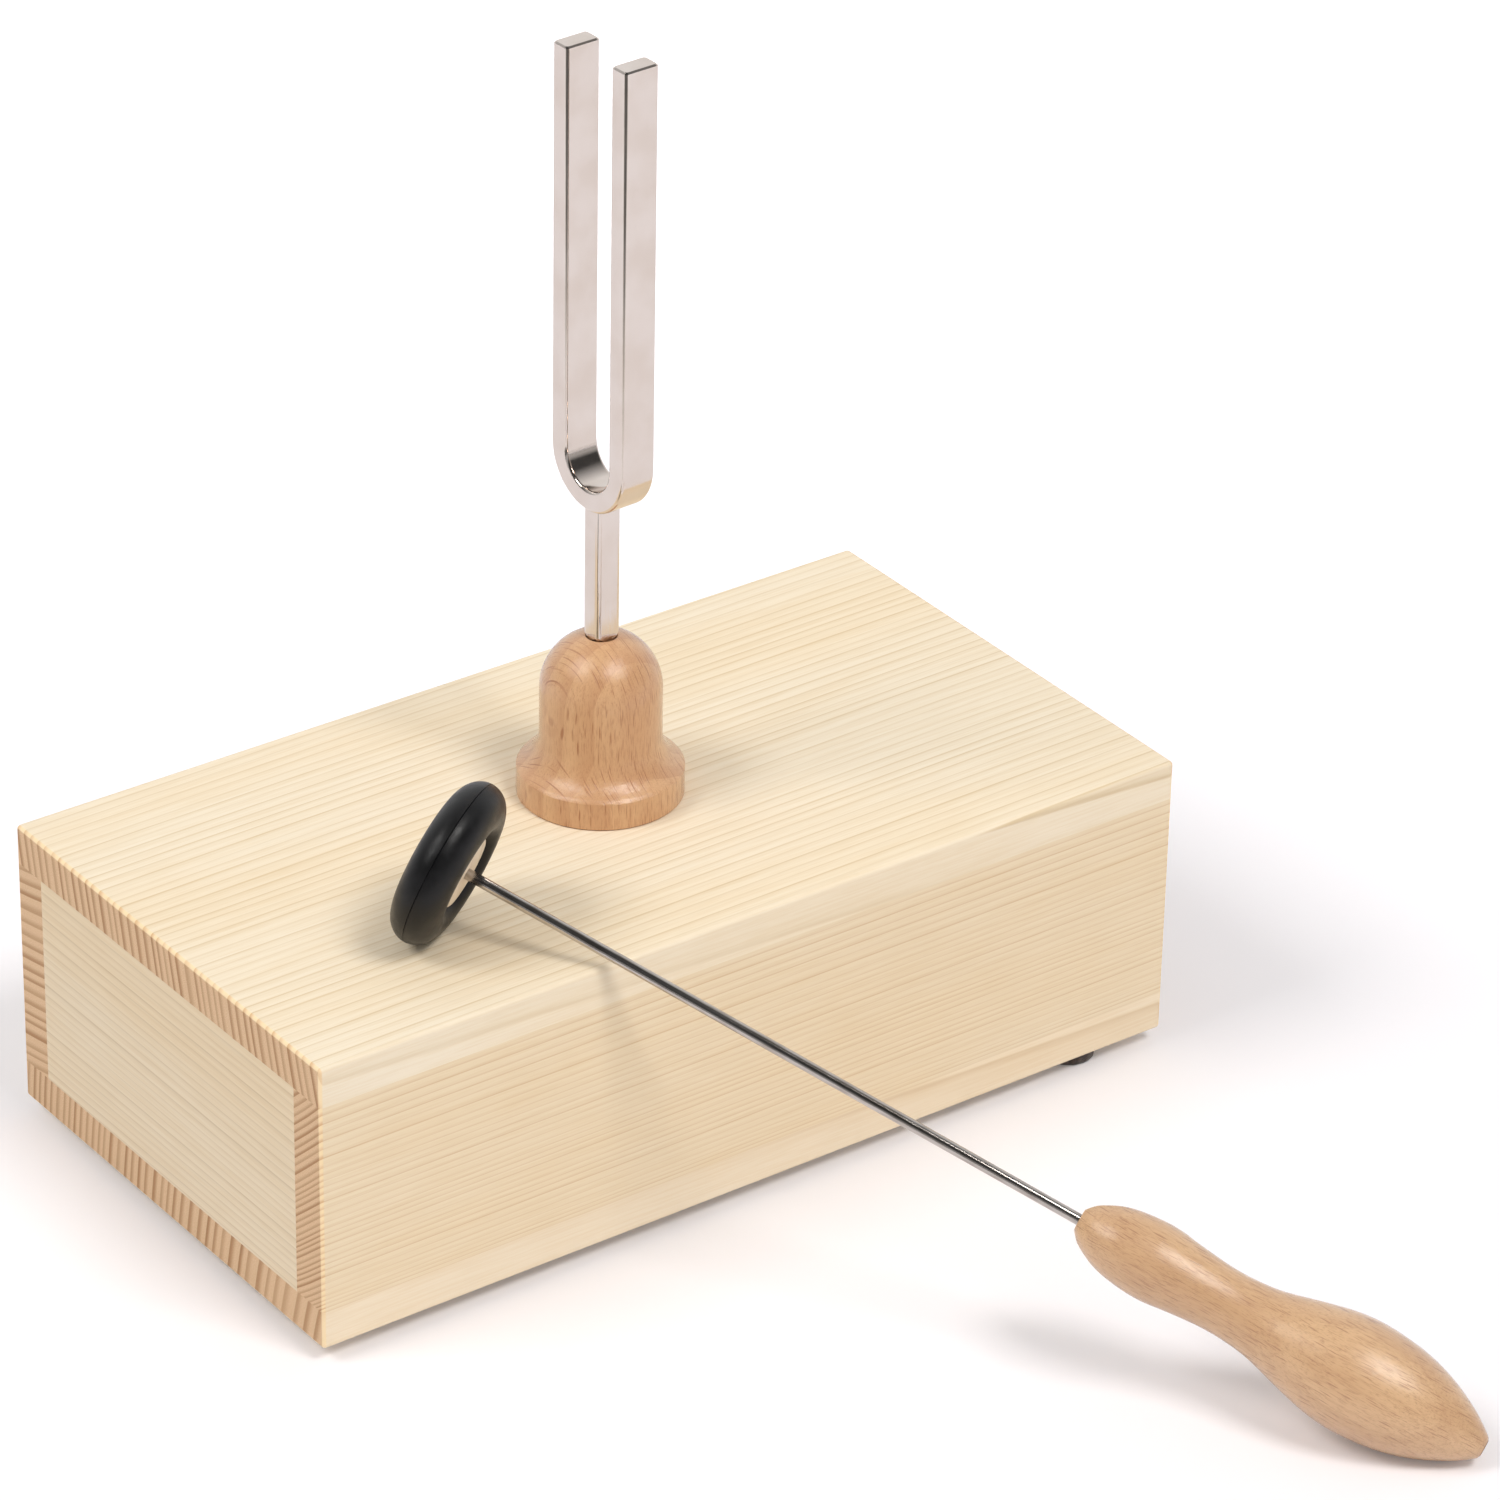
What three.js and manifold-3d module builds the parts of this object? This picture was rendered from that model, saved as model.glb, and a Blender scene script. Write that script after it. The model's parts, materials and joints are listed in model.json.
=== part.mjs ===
// A tuning fork in a turned foot on its wooden resonance box, with its striker leaning on the box.
// Millimetres, +Z up. The origin is on the table, in the middle of the set's footprint. +X runs to
// the box's open end and +Y to its back.
import * as THREE from "three";
import { RoundedBoxGeometry } from "three/addons/geometries/RoundedBoxGeometry.js";
import { mergeVertices } from "three/addons/utils/BufferGeometryUtils.js";
import Module from "manifold-3d";

// The pieces are placed from the centre of the box's underside, and the whole set is moved to the
// origin at the end.

// Resonance box: four boards glued into a tube, with a panel closing the -X end. The air in it is
// a quarter-wave resonator for about 440 Hz.
const BOX_LENGTH = 180;
const BOX_WIDTH = 96.5;
const BOX_HEIGHT = 55.5;
const LID_THICKNESS = 7.5; // the base board is as thick as the lid
const SIDE_THICKNESS = 8; // and the end panel as thick as the sides
const EASED_EDGE = 0.8;
const EASED_EDGE_STEPS = 2;

// Felt pads under the base board.
const PAD_RADIUS = 5;
const PAD_HEIGHT = 3;
const PAD_END_INSET = 16;
const PAD_SIDE_INSET_AT_OPEN_END = 6.6;
const PAD_SIDE_INSET_AT_CLOSED_END = 13;
const PAD_EASE = 0.4;

// Foot: a bell-shaped turning that stands on the lid around a loose peg.
const FOOT_X = 0.7;
const FOOT_Y = 1.2;
const FOOT_BASE_RADIUS = 14.8;
const FOOT_BAND_HEIGHT = 5.2;
const FOOT_SHOULDER_RADIUS = 3;
const FOOT_SHOULDER_ANGLE = THREE.MathUtils.degToRad(35); // where the band meets the shoulder
const FOOT_COVE_ANGLE = THREE.MathUtils.degToRad(57); // where the shoulder turns into the cove
const FOOT_BODY_RADIUS = 10.8;
const FOOT_DOME_START = 20.5; // height at which the body turns into a hemisphere
const FOOT_ARC_STEPS = 6; // for the shoulder and for the cove
const FOOT_DOME_STEPS = 10;
const PEG_RADIUS = 4;
const PEG_DEPTH_IN_LID = 6;
const PEG_HEIGHT_IN_FOOT = 8;
const PEG_BORE_RADIUS = 4.08;
const PEG_CHAMFER = 0.6;
const SOCKET_RADIUS = 2.65;
const SOCKET_FLOOR = 10; // above the lid

// Fork: two flat tines on a half-round yoke, with a flat-sided stem that ends in a round tenon.
const FORK_TURN = THREE.MathUtils.degToRad(2.9); // the fork stands slightly turned in its socket
const TINE_THICKNESS = 3.9;
const TINE_WIDTH = 7.1;
const TINE_SPACING = 15.8; // between the tines' middle planes
const FRONT_TINE_TOP = 141.3; // above the lid
const REAR_TINE_TOP = 140.3; // the rear tine is a little shorter
const YOKE_BOTTOM = 56.2; // above the lid
const FORK_EDGE_RADIUS = 0.65;
const FORK_EDGE_STEPS = 3;
const STEM_WIDTH = 5.1;
const STEM_THICKNESS = 4.3;
const STEM_CORNER = 0.9;
const STEM_CORNER_STEPS = 4;
const TENON_RADIUS = 2.55;
const TENON_CHAMFER = 0.3;
const TENON_TOP = 30.3; // above the lid; the stem's corners taper down to it
const END_CLEARANCE = 0.3; // past the end of a stem, peg or rod, in its hole

// Striker: a rubber ring on a wooden hub, a steel rod and a turned handle, on one axis. Distances
// along that axis start at the middle of the ring and grow towards the handle.
const RING_X = -49;
const RING_Y = -25.2;
const STRIKER_YAW = THREE.MathUtils.degToRad(-57.2);
const RING_OUTER_RADIUS = 15.2;
const RING_HALF_WIDTH = 4.5;
const RING_CREST = 5.2; // from the widest part of the ring's section out to its rim
const RING_SECTION_STEPS = 20;
const HUB_RADIUS = 6.8;
const HUB_HALF_WIDTH = 3.6;
const HUB_CHAMFER = 0.6;
const RING_BORE_RADIUS = 6.9;
const ROD_RADIUS = 1;
const ROD_BORE_RADIUS = 1.06;
const ROD_CHAMFER = 0.2;
const ROD_START = -3.3;
const ROD_DEPTH_IN_HANDLE = 24;
const HANDLE_START = 121.5;
// The handle's outline: distance from its front face, radius.
const HANDLE_OUTLINE = [
  [0, 1.9],
  [1.7, 3.7],
  [5.6, 5.65],
  [10, 6.55],
  [15, 6.8],
  [20.5, 6.15],
  [27.5, 5.63],
  [34.5, 6.2],
  [41, 7.9],
  [47.5, 9.45],
  [53.5, 9.9],
  [61, 9.1],
  [67, 7.3],
  [72.5, 4.6],
  [76, 2.1],
  [76.4, 1.4],
];
const HANDLE_RINGS = 32;

const FULL_TURN = 2 * Math.PI;
const ROUND_STEPS = 40;
const SMALL_ROUND_STEPS = 24;
const SAME_POINT = 1e-4; // vertices closer than this are one vertex
const CUT_OVERSHOOT = 1; // a cutting tool sticks out of what it cuts by this much
const SLOPE_HALVINGS = 40; // steps in the search for the striker's slope

const wasm = await Module();
wasm.setup();

const material = (color, roughness, metalness = 0) =>
  new THREE.MeshStandardMaterial({ color, roughness, metalness });

const spruce = () => material(0xf3e0bd, 0.6);
const beech = () => material(0xc98f5e, 0.35);
const paleBeech = () => material(0xd9aa78, 0.35);
const nickel = () => material(0xd8cfc6, 0.2, 1);
const steel = () => material(0xb8b8b8, 0.25, 1);
const rubber = () => material(0x16161a, 0.6);
const felt = () => material(0x3a2e28, 0.95);

function solidOf(geometry) {
  const bare = geometry.clone();
  bare.deleteAttribute("normal");
  bare.deleteAttribute("uv");
  const merged = mergeVertices(bare, SAME_POINT);
  return new wasm.Manifold(
    new wasm.Mesh({
      numProp: 3,
      vertProperties: merged.attributes.position.array,
      triVerts: new Uint32Array(merged.index.array),
    }),
  );
}

function geometryOf(solid) {
  const { numProp, vertProperties, triVerts } = solid.getMesh();
  const positions = new THREE.BufferAttribute(vertProperties, numProp);
  const indexed = new THREE.BufferGeometry().setAttribute("position", positions);
  indexed.setIndex(new THREE.BufferAttribute(triVerts, 1));
  const faceted = indexed.toNonIndexed();
  faceted.computeVertexNormals();
  return faceted;
}

const cut = (body, tool) => geometryOf(solidOf(body).subtract(solidOf(tool)));
const join = (body, other) => geometryOf(solidOf(body).add(solidOf(other)));
const common = (body, other) => geometryOf(solidOf(body).intersect(solidOf(other)));

// A turning about +Z. The outline lists [radius, height] points, upwards on the outside.
function turnedAboutZ(outline, steps) {
  const points = outline.map(([radius, height]) => new THREE.Vector2(radius, height));
  return new THREE.LatheGeometry(points, steps).rotateX(Math.PI / 2);
}

// A turning about +X, with [radius, distance along X] points.
function turnedAboutX(outline, steps) {
  const points = outline.map(([radius, along]) => new THREE.Vector2(radius, along));
  return new THREE.LatheGeometry(points, steps).rotateZ(-Math.PI / 2);
}

// Points on an arc, as [x, y], from one angle to another about a centre.
function arc([cx, cy], radius, from, to, steps) {
  return Array.from({ length: steps + 1 }, (_, i) => {
    const angle = from + ((to - from) * i) / steps;
    return [cx + radius * Math.cos(angle), cy + radius * Math.sin(angle)];
  });
}

// The outline of a cylinder with chamfered ends, between two heights.
function chamferedOutline(radius, from, to, chamfer) {
  return [
    [0, from],
    [radius - chamfer, from],
    [radius, from + chamfer],
    [radius, to - chamfer],
    [radius - chamfer, to],
    [0, to],
  ];
}

function named(name, geometry, surface) {
  const mesh = new THREE.Mesh(geometry, surface);
  mesh.name = name;
  return mesh;
}

// A board between two corners, eased where it reaches the outside of the box.
function board(name, low, high) {
  const size = high.map((value, i) => value - low[i]);
  const middle = high.map((value, i) => (value + low[i]) / 2);
  const plain = new THREE.BoxGeometry(...size).translate(...middle);
  const boxSize = [BOX_LENGTH, BOX_WIDTH, BOX_HEIGHT];
  const envelope = new RoundedBoxGeometry(...boxSize, EASED_EDGE_STEPS, EASED_EDGE);
  envelope.translate(0, 0, BOX_HEIGHT / 2);
  return named(name, common(plain, envelope), spruce());
}

function resonanceBox() {
  const group = new THREE.Group();
  const endX = BOX_LENGTH / 2;
  const sideY = BOX_WIDTH / 2;
  const innerY = sideY - SIDE_THICKNESS;
  const innerTop = BOX_HEIGHT - LID_THICKNESS;
  const lid = board("lid_board", [-endX, -sideY, innerTop], [endX, sideY, BOX_HEIGHT]);
  const holeFloor = BOX_HEIGHT - PEG_DEPTH_IN_LID;
  const hole = turnedAboutZ(
    [
      [0, holeFloor],
      [PEG_BORE_RADIUS, holeFloor],
      [PEG_BORE_RADIUS, BOX_HEIGHT + CUT_OVERSHOOT],
      [0, BOX_HEIGHT + CUT_OVERSHOOT],
    ],
    ROUND_STEPS,
  );
  lid.geometry = cut(lid.geometry, hole.translate(FOOT_X, FOOT_Y, 0));
  group.add(
    lid,
    board("base_board", [-endX, -sideY, 0], [endX, sideY, LID_THICKNESS]),
    board("front_side_board", [-endX, -sideY, LID_THICKNESS], [endX, -innerY, innerTop]),
    board("rear_side_board", [-endX, innerY, LID_THICKNESS], [endX, sideY, innerTop]),
    board(
      "closed_end_panel",
      [-endX, -innerY, LID_THICKNESS],
      [-endX + SIDE_THICKNESS, innerY, innerTop],
    ),
  );
  return group;
}

function feltPads() {
  const group = new THREE.Group();
  const padX = BOX_LENGTH / 2 - PAD_END_INSET;
  const outline = chamferedOutline(PAD_RADIUS, -PAD_HEIGHT, 0, PAD_EASE);
  for (const [depth, side] of [
    ["front", -1],
    ["rear", 1],
  ]) {
    for (const [end, x, inset] of [
      ["closed", -padX, PAD_SIDE_INSET_AT_CLOSED_END],
      ["open", padX, PAD_SIDE_INSET_AT_OPEN_END],
    ]) {
      const disc = turnedAboutZ(outline, SMALL_ROUND_STEPS);
      const pad = named(`felt_pad_${depth}_${end}_end`, disc, felt());
      pad.position.set(x, side * (BOX_WIDTH / 2 - inset), 0);
      group.add(pad);
    }
  }
  return group;
}

// The bell's outline from its base up: a straight band, a rounded shoulder, a cove into the body,
// and a dome down to the rim of the socket.
function footOutline() {
  const shoulderCentre = [
    FOOT_BASE_RADIUS - FOOT_SHOULDER_RADIUS * Math.cos(FOOT_SHOULDER_ANGLE),
    FOOT_BAND_HEIGHT - FOOT_SHOULDER_RADIUS * Math.sin(FOOT_SHOULDER_ANGLE),
  ];
  const shoulder = arc(
    shoulderCentre,
    FOOT_SHOULDER_RADIUS,
    FOOT_SHOULDER_ANGLE,
    FOOT_COVE_ANGLE,
    FOOT_ARC_STEPS,
  );
  // The cove's circle touches the shoulder's where it starts, and the body where it ends.
  const shoulderEndX = shoulder.at(-1)[0];
  const coveRadius = (shoulderEndX - FOOT_BODY_RADIUS) / (1 - Math.cos(FOOT_COVE_ANGLE));
  const reach = FOOT_SHOULDER_RADIUS + coveRadius;
  const coveCentre = [
    shoulderCentre[0] + reach * Math.cos(FOOT_COVE_ANGLE),
    shoulderCentre[1] + reach * Math.sin(FOOT_COVE_ANGLE),
  ];
  const cove = arc(coveCentre, coveRadius, Math.PI + FOOT_COVE_ANGLE, Math.PI, FOOT_ARC_STEPS);
  const rimAngle = Math.acos(SOCKET_RADIUS / FOOT_BODY_RADIUS);
  const dome = arc([0, FOOT_DOME_START], FOOT_BODY_RADIUS, 0, rimAngle, FOOT_DOME_STEPS);
  return [[FOOT_BASE_RADIUS, 0], ...shoulder, ...cove.slice(1), ...dome];
}

function forkFoot() {
  const boreTop = PEG_HEIGHT_IN_FOOT + END_CLEARANCE;
  const outline = [
    [0, boreTop],
    [PEG_BORE_RADIUS, boreTop],
    [PEG_BORE_RADIUS, 0],
    ...footOutline(),
    [SOCKET_RADIUS, SOCKET_FLOOR],
    [0, SOCKET_FLOOR],
  ];
  return named("fork_foot", turnedAboutZ(outline, ROUND_STEPS), beech());
}

function footPeg() {
  const outline = chamferedOutline(PEG_RADIUS, -PEG_DEPTH_IN_LID, PEG_HEIGHT_IN_FOOT, PEG_CHAMFER);
  return named("foot_peg", turnedAboutZ(outline, ROUND_STEPS), paleBeech());
}

// The yoke and tines, drawn as a U in the Y-Z plane and extruded along X.
function tinesAndYoke() {
  const middle = TINE_SPACING / 2;
  const outer = middle + TINE_THICKNESS / 2;
  const inner = middle - TINE_THICKNESS / 2;
  const bend = YOKE_BOTTOM + outer;
  const shape = new THREE.Shape();
  shape.moveTo(-outer, FRONT_TINE_TOP);
  shape.absarc(0, bend, outer, Math.PI, FULL_TURN, false);
  shape.lineTo(outer, REAR_TINE_TOP);
  shape.lineTo(inner, REAR_TINE_TOP);
  shape.absarc(0, bend, inner, 0, Math.PI, true);
  shape.lineTo(-inner, FRONT_TINE_TOP);
  const extruded = new THREE.ExtrudeGeometry(shape, {
    depth: TINE_WIDTH - 2 * FORK_EDGE_RADIUS,
    curveSegments: SMALL_ROUND_STEPS,
    bevelThickness: FORK_EDGE_RADIUS,
    bevelSize: FORK_EDGE_RADIUS,
    bevelOffset: -FORK_EDGE_RADIUS,
    bevelSegments: FORK_EDGE_STEPS,
  });
  extruded.translate(0, 0, FORK_EDGE_RADIUS - TINE_WIDTH / 2);
  const sideways = new THREE.Matrix4().makeBasis(
    new THREE.Vector3(0, 1, 0),
    new THREE.Vector3(0, 0, 1),
    new THREE.Vector3(1, 0, 0),
  );
  return extruded.applyMatrix4(sideways);
}

// The flat-sided stem, whose corners taper in to the round tenon that stands in the foot's socket.
function stem() {
  const flatX = STEM_WIDTH / 2 - STEM_CORNER;
  const flatY = STEM_THICKNESS / 2 - STEM_CORNER;
  const shape = new THREE.Shape();
  for (let corner = 0; corner < 4; corner += 1) {
    const angle = (corner * Math.PI) / 2;
    const signX = corner === 0 || corner === 3 ? 1 : -1;
    const signY = corner < 2 ? 1 : -1;
    shape.absarc(signX * flatX, signY * flatY, STEM_CORNER, angle, angle + Math.PI / 2, false);
  }
  shape.closePath();
  const top = YOKE_BOTTOM + TINE_THICKNESS / 2;
  const bar = new THREE.ExtrudeGeometry(shape, {
    depth: top - TENON_TOP,
    curveSegments: STEM_CORNER_STEPS,
    bevelEnabled: false,
  }).translate(0, 0, TENON_TOP);
  const tapered = turnedAboutZ(
    [
      [0, TENON_TOP],
      [TENON_RADIUS - TENON_CHAMFER, TENON_TOP],
      [STEM_WIDTH, TENON_TOP + STEM_WIDTH],
      [STEM_WIDTH, top],
      [0, top],
    ],
    ROUND_STEPS,
  );
  const bottom = SOCKET_FLOOR + END_CLEARANCE;
  const core = STEM_THICKNESS / 2 - TENON_CHAMFER; // reaches up into the bar
  const tenon = turnedAboutZ(
    [
      [0, bottom],
      [TENON_RADIUS, bottom],
      [TENON_RADIUS, TENON_TOP - TENON_CHAMFER],
      [TENON_RADIUS - TENON_CHAMFER, TENON_TOP],
      [core, TENON_TOP],
      [core, TENON_TOP + TENON_CHAMFER],
      [0, TENON_TOP + TENON_CHAMFER],
    ],
    ROUND_STEPS,
  );
  return join(common(bar, tapered), tenon);
}

function tuningFork() {
  const fork = named("tuning_fork", join(tinesAndYoke(), stem()), nickel());
  fork.rotation.z = FORK_TURN;
  return fork;
}

function standingFork() {
  const group = new THREE.Group();
  group.position.set(FOOT_X, FOOT_Y, BOX_HEIGHT);
  group.add(footPeg(), forkFoot(), tuningFork());
  return group;
}

// Height of the ring's middle above the lid when the striker's axis slopes down by an angle.
function ringHeight(slope) {
  const crestCentre = (RING_OUTER_RADIUS - RING_CREST) * Math.cos(slope);
  return crestCentre + Math.hypot(RING_CREST * Math.cos(slope), RING_HALF_WIDTH * Math.sin(slope));
}

function handleCurve() {
  const points = HANDLE_OUTLINE.map(
    ([along, radius]) => new THREE.Vector2(radius, HANDLE_START + along),
  );
  return new THREE.SplineCurve(points).getPoints(HANDLE_RINGS);
}

// The slope at which the ring rests on the lid while the handle's lowest point touches the table.
function restingSlope() {
  const outline = handleCurve();
  const handleLow = (slope) => {
    const ringZ = BOX_HEIGHT + ringHeight(slope);
    const lows = outline.map((p) => ringZ - p.y * Math.sin(slope) - p.x * Math.cos(slope));
    return Math.min(...lows);
  };
  let [shallow, steep] = [0, Math.PI / 4];
  for (let i = 0; i < SLOPE_HALVINGS; i += 1) {
    const slope = (shallow + steep) / 2;
    if (handleLow(slope) > -PAD_HEIGHT) shallow = slope;
    else steep = slope;
  }
  return shallow;
}

function rubberRing() {
  const widest = RING_OUTER_RADIUS - RING_CREST;
  const outline = Array.from({ length: RING_SECTION_STEPS + 1 }, (_, i) => {
    const angle = (FULL_TURN * (i % RING_SECTION_STEPS)) / RING_SECTION_STEPS;
    const reach = Math.cos(angle) > 0 ? RING_CREST : widest - RING_BORE_RADIUS;
    return [widest + reach * Math.cos(angle), RING_HALF_WIDTH * Math.sin(angle)];
  });
  return named("rubber_ring", turnedAboutX(outline, ROUND_STEPS), rubber());
}

function strikerHub() {
  const outline = [
    [ROD_BORE_RADIUS, -HUB_HALF_WIDTH],
    [HUB_RADIUS - HUB_CHAMFER, -HUB_HALF_WIDTH],
    [HUB_RADIUS, HUB_CHAMFER - HUB_HALF_WIDTH],
    [HUB_RADIUS, HUB_HALF_WIDTH - HUB_CHAMFER],
    [HUB_RADIUS - HUB_CHAMFER, HUB_HALF_WIDTH],
    [ROD_BORE_RADIUS, HUB_HALF_WIDTH],
    [ROD_BORE_RADIUS, -HUB_HALF_WIDTH],
  ];
  return named("striker_hub", turnedAboutX(outline, ROUND_STEPS), spruce());
}

function strikerRod() {
  const end = HANDLE_START + ROD_DEPTH_IN_HANDLE;
  const outline = chamferedOutline(ROD_RADIUS, ROD_START, end, ROD_CHAMFER);
  return named("striker_rod", turnedAboutX(outline, SMALL_ROUND_STEPS), steel());
}

function strikerHandle() {
  const boreEnd = HANDLE_START + ROD_DEPTH_IN_HANDLE + END_CLEARANCE;
  const curve = handleCurve().map((p) => [p.x, p.y]);
  const tail = curve.at(-1)[1];
  const outline = [
    [0, boreEnd],
    [ROD_BORE_RADIUS, boreEnd],
    [ROD_BORE_RADIUS, HANDLE_START],
    ...curve,
    [0, tail],
  ];
  return named("striker_handle", turnedAboutX(outline, ROUND_STEPS), paleBeech());
}

function striker() {
  const slope = restingSlope();
  const group = new THREE.Group();
  group.position.set(RING_X, RING_Y, BOX_HEIGHT + ringHeight(slope));
  group.rotation.set(0, slope, STRIKER_YAW, "ZYX");
  group.add(rubberRing(), strikerHub(), strikerRod(), strikerHandle());
  return group;
}

const set = new THREE.Group();
set.add(resonanceBox(), feltPads(), standingFork(), striker());
const extent = new THREE.Box3().setFromObject(set, true);
const middle = extent.getCenter(new THREE.Vector3());
set.position.set(-middle.x, -middle.y, -extent.min.z);

export default set;
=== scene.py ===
"""The looks of a tuning fork on its resonance box, with its striker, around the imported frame.

Lengths are in metres. Textures work in millimetres of their own piece, so that grain has its
real scale.
"""
import json
import math

import bmesh
import bpy
from mathutils import Matrix, Vector, noise


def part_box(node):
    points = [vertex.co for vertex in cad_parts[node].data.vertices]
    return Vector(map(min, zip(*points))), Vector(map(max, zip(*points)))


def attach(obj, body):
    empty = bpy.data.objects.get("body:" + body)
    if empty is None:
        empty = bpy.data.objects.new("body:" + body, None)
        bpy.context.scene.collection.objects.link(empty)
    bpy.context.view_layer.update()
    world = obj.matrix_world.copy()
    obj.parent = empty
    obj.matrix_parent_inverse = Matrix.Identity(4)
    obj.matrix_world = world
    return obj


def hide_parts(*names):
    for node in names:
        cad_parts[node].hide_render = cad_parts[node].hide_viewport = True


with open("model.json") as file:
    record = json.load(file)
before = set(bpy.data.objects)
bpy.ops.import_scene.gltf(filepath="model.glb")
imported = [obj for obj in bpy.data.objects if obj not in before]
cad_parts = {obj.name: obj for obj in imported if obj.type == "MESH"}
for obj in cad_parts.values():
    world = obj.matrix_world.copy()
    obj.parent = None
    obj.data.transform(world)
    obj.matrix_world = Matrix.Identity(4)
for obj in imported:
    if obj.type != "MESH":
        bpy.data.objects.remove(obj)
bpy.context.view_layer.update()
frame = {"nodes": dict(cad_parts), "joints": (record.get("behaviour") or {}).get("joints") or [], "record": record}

MM = 0.001
UP = Vector((0, 0, 1))

# ---------------------------------------------------------------- places taken from the frame

BODY_OF = {
    node: body
    for body, nodes in frame["record"]["behaviour"]["bodies"].items()
    for node in nodes
}
SLOT_OF = {part["node"]: part["material_slot"] for part in frame["record"]["subparts"]}
JOINTS = {joint["name"]: joint for joint in frame["joints"]}


def middle_of(node):
    low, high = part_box(node)
    return (low + high) / 2


def placed(origin, along=UP):
    """The matrix that puts local Z on a direction, with local X level."""
    z = along.normalized()
    x = Vector((1, 0, 0)) if z.cross(UP).length < MM else z.cross(UP).normalized()
    y = z.cross(x)
    return Matrix.Translation(origin) @ Matrix((x, y, z)).transposed().to_4x4()


# The box's pieces, the foot and the fork are placed from the middle of the box's underside.
BASE_LOW, BASE_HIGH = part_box("base_board")
BOX_ORIGIN = Vector(((BASE_LOW.x + BASE_HIGH.x) / 2, (BASE_LOW.y + BASE_HIGH.y) / 2, BASE_LOW.z))
BOX_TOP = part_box("lid_board")[1].z - BOX_ORIGIN.z
BOX_HALF = (BASE_HIGH - BASE_LOW) / 2
SEAT = Vector(JOINTS["foot_turn"]["pos_m"])

# The striker's pieces are turned about one axis, from the ring to the handle.
RING_MIDDLE = middle_of("rubber_ring")
HANDLE_END = Vector(JOINTS["striker_swing"]["pos_m"])
STRIKER = placed(RING_MIDDLE, HANDLE_END - RING_MIDDLE)
STRIKER_TURN_BACK = STRIKER.to_3x3().inverted().to_euler()

# ---------------------------------------------------------------- sizes of the fine shapes

EASED_EDGE = 0.8 * MM
EASED_EDGE_STEPS = 6
ROUND_STEPS = 128
FILLET_STEPS = 5
SMOOTH_BELOW = math.radians(32)
AXIS_TOLERANCE = 1e-7
TOUCHING = 1e-5

PAD_ROUNDING = 0.7 * MM
PAD_FUZZ = 0.12 * MM

PEG_BORE_RADIUS = 4.08 * MM
PEG_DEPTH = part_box("foot_peg")[0].z - SEAT.z
PEG_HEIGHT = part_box("foot_peg")[1].z - SEAT.z
PEG_ROUNDING = 0.5 * MM
END_CLEARANCE = 0.3 * MM

FOOT_BAND_HEIGHT = 5.2 * MM
FOOT_SHOULDER_RADIUS = 3 * MM
FOOT_SHOULDER_ANGLE = math.radians(35)
FOOT_COVE_ANGLE = math.radians(57)
FOOT_BODY_RADIUS = 10.8 * MM
FOOT_DOME_START = 20.5 * MM
FOOT_SOCKET_RADIUS = 2.65 * MM
FOOT_SOCKET_FLOOR = 10 * MM
FOOT_ARC_STEPS = 14
FOOT_EDGE = 0.25 * MM
FOOT_STANDOFF = 0.02 * MM  # keeps the turning foot from grazing the lid

TINE_THICKNESS = 3.9 * MM
TINE_WIDTH = 7.1 * MM
TINE_SPACING = 15.8 * MM
TINE_TIP_CHAMFER = 0.3 * MM
REAR_TINE_SHORTER_BY = 1 * MM
YOKE_BOTTOM = 56.2 * MM
FORK_TURN = math.radians(2.9)
FORK_EDGE_RADIUS = 0.65 * MM
FORK_BEND_STEPS = 72
STEM_WIDTH = 5.1 * MM
STEM_THICKNESS = 4.3 * MM
STEM_CORNER = 0.9 * MM
TENON_RADIUS = 2.55 * MM
TENON_CHAMFER = 0.3 * MM
TENON_TOP = 30.3 * MM

RING_OUTER_RADIUS = 15.2 * MM
RING_HALF_WIDTH = 4.5 * MM
RING_CREST = 5.2 * MM
RING_BORE_RADIUS = 6.9 * MM
RING_SECTION_STEPS = 64
SEAM_HALF_WIDTH = 0.13 * MM
SEAM_DEPTH = 0.13 * MM
HUB_RADIUS = 6.8 * MM
HUB_HALF_WIDTH = 3.6 * MM
HUB_ROUNDING = 0.7 * MM
ROD_RADIUS = 1 * MM
ROD_BORE_RADIUS = 1.06 * MM
ROD_ROUNDING = 0.2 * MM
HANDLE_SUBSTEPS = 4

END_GRAIN_SHADES = ((228, 197, 161), (181, 138, 99))
BEECH_RING_WIDTH = 4.7
BEECH_PITH_DISTANCE = 60
# Rays in beech, per millimetre across the blade, along it and along the grain.
RAY_LAYERS = 4
RAY_CELLS_PER_MM = (1 / 1.05, 1 / 9, 1 / 4.6)
RAY_SHARPNESS = (1 / 0.1, 1 / 0.42, 1 / 0.38)

# ---------------------------------------------------------------- camera, floor and light

LENS = 168.2
CLIP_START = 0.01
CLIP_END = 50
CAMERA_FROM_BOX = Vector((-611.2, -867.0, 672.5)) * MM
CAMERA_AZIMUTH = math.radians(-36.583)
CAMERA_ELEVATION = math.radians(29.820)
CAMERA_ROLL = math.radians(1.124)
AHEAD = Vector((-math.sin(CAMERA_AZIMUTH), math.cos(CAMERA_AZIMUTH), 0))
FLOOR_HALF_SIZE = 8.0
FLOOR_GLOW_NEAR = 0.08
FLOOR_GLOW_FAR = 0.6
FLOOR_GLOW_REACH = 0.5
# The painted reflection sheet: where it starts in front of the seat, how long it takes to fade, and its glow from
# pale to dark.
REFLECTION_CARD_STARTS = 0.25
REFLECTION_FADE_LENGTH = 0.1
REFLECTION_FADE = (0.85, 0.1)
DARK_HALF_SIZE = 1.0
SOFTBOX_DISTANCE = 3.0
AMBIENT = 0.47
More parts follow.
